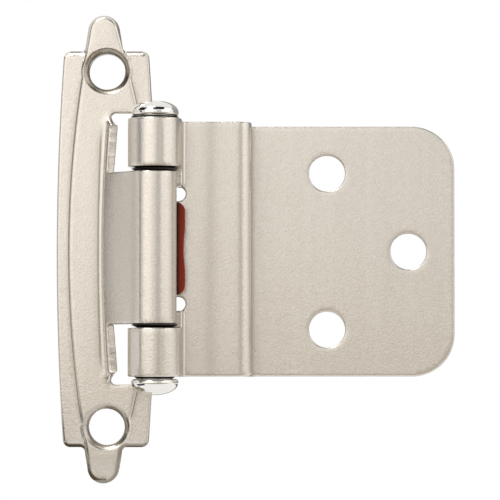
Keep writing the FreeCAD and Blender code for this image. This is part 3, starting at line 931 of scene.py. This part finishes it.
# Door leaf: one thicker sheet, knuckles rolled from its ends, a tongue left between them
leaf = {
    "sheet": 1.7, "half": 19.05,
    "knuckleOuter": 3.98, "knuckleFoot": 11.85, "curl": 300.0,
    "cheekX": 11.28, "bandY": -1.7, "stepX": 21.58, "plateY": 7.825, "end": 52.48,
    "cheekBend": 0.6, "stepBend": 0.35, "footBend": 0.4,
    "cheekFront": 3.0, "cornerRadius": 6.5,
    "holeX": 33.08, "holeZ": 11.9, "farHoleX": 45.48, "holeRadius": 2.75,
    "reliefX": 10.65, "reliefZ": 8.23, "reliefRadius": 1.05,
    "tongueX": 7.9, "tongueHalf": 7.18, "tongueCorner": 1.0, "cheekInner": 9.28,
    "edgeRound": 0.22, "crown": 0.05,
    # marks of the rolling dies on the knuckles: angle round the pin, half width, depth, lower or upper
    "rollMarks": [(-132, 7, 0.06, -1), (-118, 5, -0.03, -1), (-72, 5, 0.03, -1),
                  (-128, 8, 0.03, 1), (-76, 5, 0.035, 1)],
    # soft steps along the band: place, half width, drop
    "waves": [(15.45, 0.85, 0.055), (18.2, 1.6, -0.03), (13.3, 1.0, -0.02)],
    # painted shade, how much darker: the band, the stripe on its middle step, the line at the plate's foot
    "bandShade": 0.08, "stripeShade": (0.7, 0.09), "footShadeLine": (0.22, 0.55),
}
pinX, pinY = hump["pinX"], hump["pinY"]


def leafRun(step=0.02):
    # front face of the bent sheet seen from above, from the knuckle's free end to the plate's end
    outer = leaf["knuckleOuter"]
    curl = arcPoints((pinX, pinY), outer, -leaf["curl"], 0, 400)
    cheek, stepX, band, plate = leaf["cheekX"], leaf["stepX"], leaf["bandY"], leaf["plateY"]
    corners = [(cheek, pinY), (cheek, band), (stepX, band), (stepX, plate), (leaf["end"], plate)]
    bends = [leaf["cheekBend"], leaf["stepBend"] + leaf["sheet"], leaf["footBend"]]
    return curl + roundedLine(corners, bends, step)[1:]


leafWay = spaced(leafRun(), 0.05)
leafLengths = lengthsAlong(leafWay)
leafX, leafY = np.array(leafWay).T
leafNormalX = -np.gradient(leafY, leafLengths)
leafNormalY = np.gradient(leafX, leafLengths)
# the flat pattern is laid out so that it equals x on the band, and is shifted on the plate
bandX = leaf["cheekX"] + leaf["cheekBend"]
bent = leafLengths > 20  # past the knuckle's curl
leafStart = bandX - np.interp(bandX, leafX[bent], leafLengths[bent])
leafEnd = leafLengths[-1] + leafStart
cheekTopU = leaf["curl"] / 360 * 2 * math.pi * leaf["knuckleOuter"] + leafStart
plateU = leafEnd - leaf["end"]


def leafPattern():
    # the outline of the flat pattern, anticlockwise, and its holes
    half, foot = leaf["half"], leaf["knuckleFoot"]
    edge = cheekTopU + leaf["cheekFront"]
    inner, reliefX = leaf["cheekInner"], leaf["reliefX"]
    tongueX, tongueZ = leaf["tongueX"], leaf["tongueHalf"]
    upper = [(leafEnd, 0), (leafEnd, half), (leafStart, half), (leafStart, foot), (edge, foot),
             (edge, inner), (reliefX, inner)]
    upper = roundedLine(upper, [leaf["cornerRadius"], 0.25, 0.25, 0.3, 0.2])
    upper += arcPoints((reliefX, leaf["reliefZ"]), leaf["reliefRadius"], 90, -90, 22)[1:]
    upper += roundedLine([(reliefX, tongueZ), (tongueX, tongueZ), (tongueX, 0)], [leaf["tongueCorner"]])[1:]
    line = upper + [(x, -z) for x, z in upper[::-1][1:-1]]
    holes = [hole(leaf["holeX"] + plateU, side * leaf["holeZ"], leaf["holeRadius"], 60) for side in (1, -1)]
    holes.append(hole(leaf["farHoleX"] + plateU, 0, leaf["holeRadius"], 60))
    return spaced(line + [line[0]], 0.35)[:-1], holes


leafOutline, leafHoles = leafPattern()


def leafFaces(points):
    u, z = points.T
    fromEdge = toLines(points, [line + line[:1] for line in [leafOutline] + leafHoles])
    fall = curveFall(fromEdge, leaf["edgeRound"])
    along = u - leafStart
    onTongue = (np.abs(z) < leaf["cheekInner"] - 1e-3) & (u < bandX + 0.01)
    onRun = [np.interp(along, leafLengths, part) for part in (leafX, leafY, leafNormalX, leafNormalY)]
    tongue = (u, leaf["bandY"], 0, 1)
    x, y, nx, ny = [np.where(onTongue, new, old) for new, old in zip(tongue, onRun)]
    # the band is a little hollow between its bends, as a sheet is after the press
    mid = (u - leaf["cheekX"]) / (leaf["stepX"] - leaf["cheekX"])
    hollow = leaf["crown"] * np.sin(np.clip(mid, 0, 1) * math.pi) ** 2
    for place, half, deep in leaf["waves"]:
        hollow += deep * smooth((u - place + half) / (2 * half)) * smooth((leaf["stepX"] - 1.4 - u) / 1.2)
    turn = np.degrees(along / leaf["knuckleOuter"]) - leaf["curl"]
    for angle, half, deep, side in leaf["rollMarks"]:
        fade = smooth((leaf["half"] - np.abs(z) + 0.3) / 2.5)
        hollow += deep * np.exp(-((turn - angle) / half) ** 2) * (z * side > 0) * (~onTongue) * fade
    faces = []
    for depth in (fall + hollow, leaf["sheet"] - fall + np.clip(hollow, 0, None) * 0.4):
        faces.append(np.column_stack([x + nx * depth, y + ny * depth, z]))
    return faces


def leafPaintedShade(points):
    # painted shade: the band darker, a dark stripe on its middle step, and a dark line at the step's foot
    u, z = points.T
    band = smooth((u - leaf["cheekX"]) / 0.6) * smooth((leaf["stepX"] - 2.0 - u) / 0.5) * leaf["bandShade"]
    stripeShade = softLine(u - leaf["waves"][0][0], leaf["stripeShade"])
    foot = softLine(u - plateU - leaf["stepX"] - 0.12, leaf["footShadeLine"])
    return np.maximum(band + stripeShade * (u > leaf["cheekX"]), foot)


def leafPoints():
    keep = []
    for side in [leafOutline] + [ring[::-1] for ring in leafHoles]:
        for offset in (0.02, 0.07, 0.14, leaf["edgeRound"]):
            keep += moved(side, offset, closed=True)
    bends = [bandX - 1.2, leaf["stepX"] - 1.2, plateU + leaf["stepX"] - 0.8]
    for start, width in zip(bends, (1.4, 3.6, 1.8)):
        keep += rows(np.arange(start, start + width, 0.14), 0.6, 18.8)
    for u in np.arange(leafStart + 0.2, cheekTopU, 0.21):
        keep += [(u, side * z) for z in np.arange(12.1, 18.9, 0.6) for side in (1, -1)]
    return keep


leafMesh = pressedSheet("doorPlate", [leafOutline] + leafHoles, leafPoints(), leafFaces, leafPaintedShade)
finished("doorPlate", leafMesh, (satinFinish, shearedFinish), "leaf", "door_leaf")
print("door leaf pressed")


# Pin ends: a lathe turns one rule-made profile into the head and, upside down, the cap
pinEnd = {
    "Head radius": 3.5, "Dome height": 1.8, "Band height": 0.55, "Edge": 0.36,
    "Collar radius": 3.1, "Collar height": 0.04, "Foot": 19.36,
}
shaft = {"Radius": 2.2, "Low": -20.45, "High": 19.5, "Edge": 0.25}
gapShadeShoulders = {
    # dark shoulders standing in for the shade in the gaps (painted shade): where each shoulder rises and
    # falls, measured from the middle of the pin, and how far it stands out
    "spans": [((11.31, 11.36), (11.79, 11.84)), ((19.08, 19.12), (19.34, 19.38))],
    "height": 1.3,
}


def baked(carrier):
    # a carrier's finished mesh; the carrier goes
    bpy.context.view_layer.update()
    mesh = bpy.data.meshes.new_from_object(carrier.evaluated_get(bpy.context.evaluated_depsgraph_get()))
    carrier.modifiers.clear()
    bpy.data.objects.remove(carrier)
    return mesh


class Maker:
    # a Geometry Nodes tree with named inputs, and its modifier
    def __init__(self, name, inputs):
        self.tree = bpy.data.node_groups.new(name, "GeometryNodeTree")
        self.values = inputs
        self.sockets = {}
        for label in inputs:
            made = self.tree.interface.new_socket(label, in_out="INPUT", socket_type="NodeSocketFloat")
            self.sockets[label] = made.identifier
        self.tree.interface.new_socket("Geometry", in_out="OUTPUT", socket_type="NodeSocketGeometry")
        self.entry = self.tree.nodes.new("NodeGroupInput")

    node = Finish.node

    def value(self, label):
        return Signal(self, self.entry.outputs[label])

    def finish(self, shape, material):
        shape = self.node("GeometryNodeRealizeInstances", {}, {"Geometry": shape})
        shape = self.node("GeometryNodeSetMaterial", {}, {"Geometry": shape, "Material": material})
        self.node("NodeGroupOutput", {}, {"Geometry": shape})
        carrier = linked("carrier", bpy.data.meshes.new("carrier"))
        modifier = carrier.modifiers.new("lathe", "NODES")
        modifier.node_group = self.tree
        for label, value in self.values.items():
            modifier[self.sockets[label]] = value
        return baked(carrier)


def lathe(name, inputs, profile, material, segments=112, rings=81):
    # a grid whose rows take their radius and height from the profile, turned about the pin
    maker = Maker(name, inputs)
    grid = maker.node("GeometryNodeMeshGrid", {}, {
        "Size X": 1.0, "Size Y": 1.0, "Vertices X": segments + 1, "Vertices Y": rings})
    place = maker.node("GeometryNodeInputPosition")
    turn = (maker.node("ShaderNodeSeparateXYZ", {}, {"Vector": place}, "X") + 0.5) * (2 * math.pi)
    along = maker.node("ShaderNodeSeparateXYZ", {}, {"Vector": place}, "Y") + 0.5
    radius, height = profile(maker, along)
    spot = maker.node("ShaderNodeCombineXYZ", {}, {
        "X": (radius * turn.of("COSINE") + pinX) * mm,
        "Y": (radius * turn.of("SINE") + pinY) * mm,
        "Z": height * maker.value("Side") * mm})
    shape = maker.node("GeometryNodeSetPosition", {}, {"Geometry": grid, "Position": spot})
    shape = maker.node("GeometryNodeMergeByDistance", {}, {"Geometry": shape, "Distance": 0.000002})
    return maker.finish(shape, material)


def headProfile(maker, along):
    # dome from the crown to its rim, then the band, the rounded edge, the collar and the foot
    wide, dome, band, edge, collar, rise, foot = [maker.value(label) for label in pinEnd]
    turn = ramp(maker, along, 0.0, 0.5) * (math.pi / 2)
    corner = ramp(maker, along, 0.6, 0.65) * (math.pi / 2)
    radius = wide * turn.of("SINE") - edge * (1 - corner.of("COSINE"))
    radius = radius - (wide - edge - collar) * ramp(maker, along, 0.65, 0.7)
    radius = radius - collar * ramp(maker, along, 0.85, 1.0)
    top = foot + rise + band + dome
    height = top - dome * (1 - turn.of("COSINE"))
    height = height - (band - edge) * ramp(maker, along, 0.5, 0.6)
    height = height - edge * corner.of("SINE") - rise * ramp(maker, along, 0.7, 0.85)
    return radius, height


def shaftProfile(maker, along):
    # a plain rod with both ends rounded
    full, low, high, edge = [maker.value(label) for label in shaft]
    first = ramp(maker, along, 0.1, 0.2) * (math.pi / 2)
    last = ramp(maker, along, 0.8, 0.9) * (math.pi / 2)
    radius = (full - edge) * ramp(maker, along, 0.0, 0.1) + edge * first.of("SINE")
    radius = radius - edge * (1 - last.of("COSINE"))
    radius = radius - (full - edge) * ramp(maker, along, 0.9, 1.0)
    height = low + edge * (1 - first.of("COSINE"))
    height = height + (high - low - edge * 2) * ramp(maker, along, 0.2, 0.8)
    height = height + edge * last.of("SINE")
    # dark shoulders fill the gaps between barrel, knuckles and heads, as painted shade in place of the
    # shadow there
    away = height.of("ABSOLUTE")
    for (inner, raised), (fading, outer) in gapShadeShoulders["spans"]:
        swell = ramp(maker, away, inner, raised) - ramp(maker, away, fading, outer)
        radius = radius + swell * gapShadeShoulders["height"]
    return radius, height


for name, side, node in (("pinHead", 1.0, "hinge_pin"), ("pinCap", -1.0, "pin_cap")):
    head = lathe(name + "Lathe", dict(pinEnd, Side=side), headProfile, polishedFinish)
    finished(name, head, polishedFinish, "frame", node)
rod = lathe("pinShaftLathe", dict(shaft, Side=1.0), shaftProfile, shadedPinFinish, 72, 121)
finished("pinShaft", rod, shadedPinFinish, "frame", "hinge_pin")
print("pin, head and cap turned")


# Closing shoe and spring: softened copies of their solids
soften = {
    "shoe": {"voxel": 0.00011, "rounds": 7},
    "spring": {"voxel": 0.00009, "rounds": 4},
}
# Two points on the spring's lower arm, past its fold, where it gives way with the shoe; passed only as
# bend, their values are not used and the arm is not bent here
springBend = {"start": (0.0032, -0.0036, 0.0), "end": (0.00544, -0.00192, 0.0)}


def softened(node, sizes):
    # a CAD mesh with its edges worn round, as moulding or tumbling leaves them
    shape = bmesh.new()
    shape.from_mesh(nodes[node].data)
    bmesh.ops.remove_doubles(shape, verts=shape.verts, dist=1e-6)
    mesh = bpy.data.meshes.new(node + "Soft")
    shape.to_mesh(mesh)
    shape.free()
    carrier = linked("carrier", mesh)
    remesh = carrier.modifiers.new("grid", "REMESH")
    remesh.mode = "VOXEL"
    remesh.voxel_size = sizes["voxel"]
    rounding = carrier.modifiers.new("round", "SMOOTH")
    rounding.factor = 0.5
    rounding.iterations = sizes["rounds"]
    return baked(carrier)


finished("closingShoe", softened("closing_shoe", soften["shoe"]), nylonFinish, "shoe",
         "closing_shoe", 60)
finished("closingSpring", softened("closing_spring", soften["spring"]), steelFinish, "shoe",
         "closing_spring", 60, springBend)
print("shoe and spring softened")
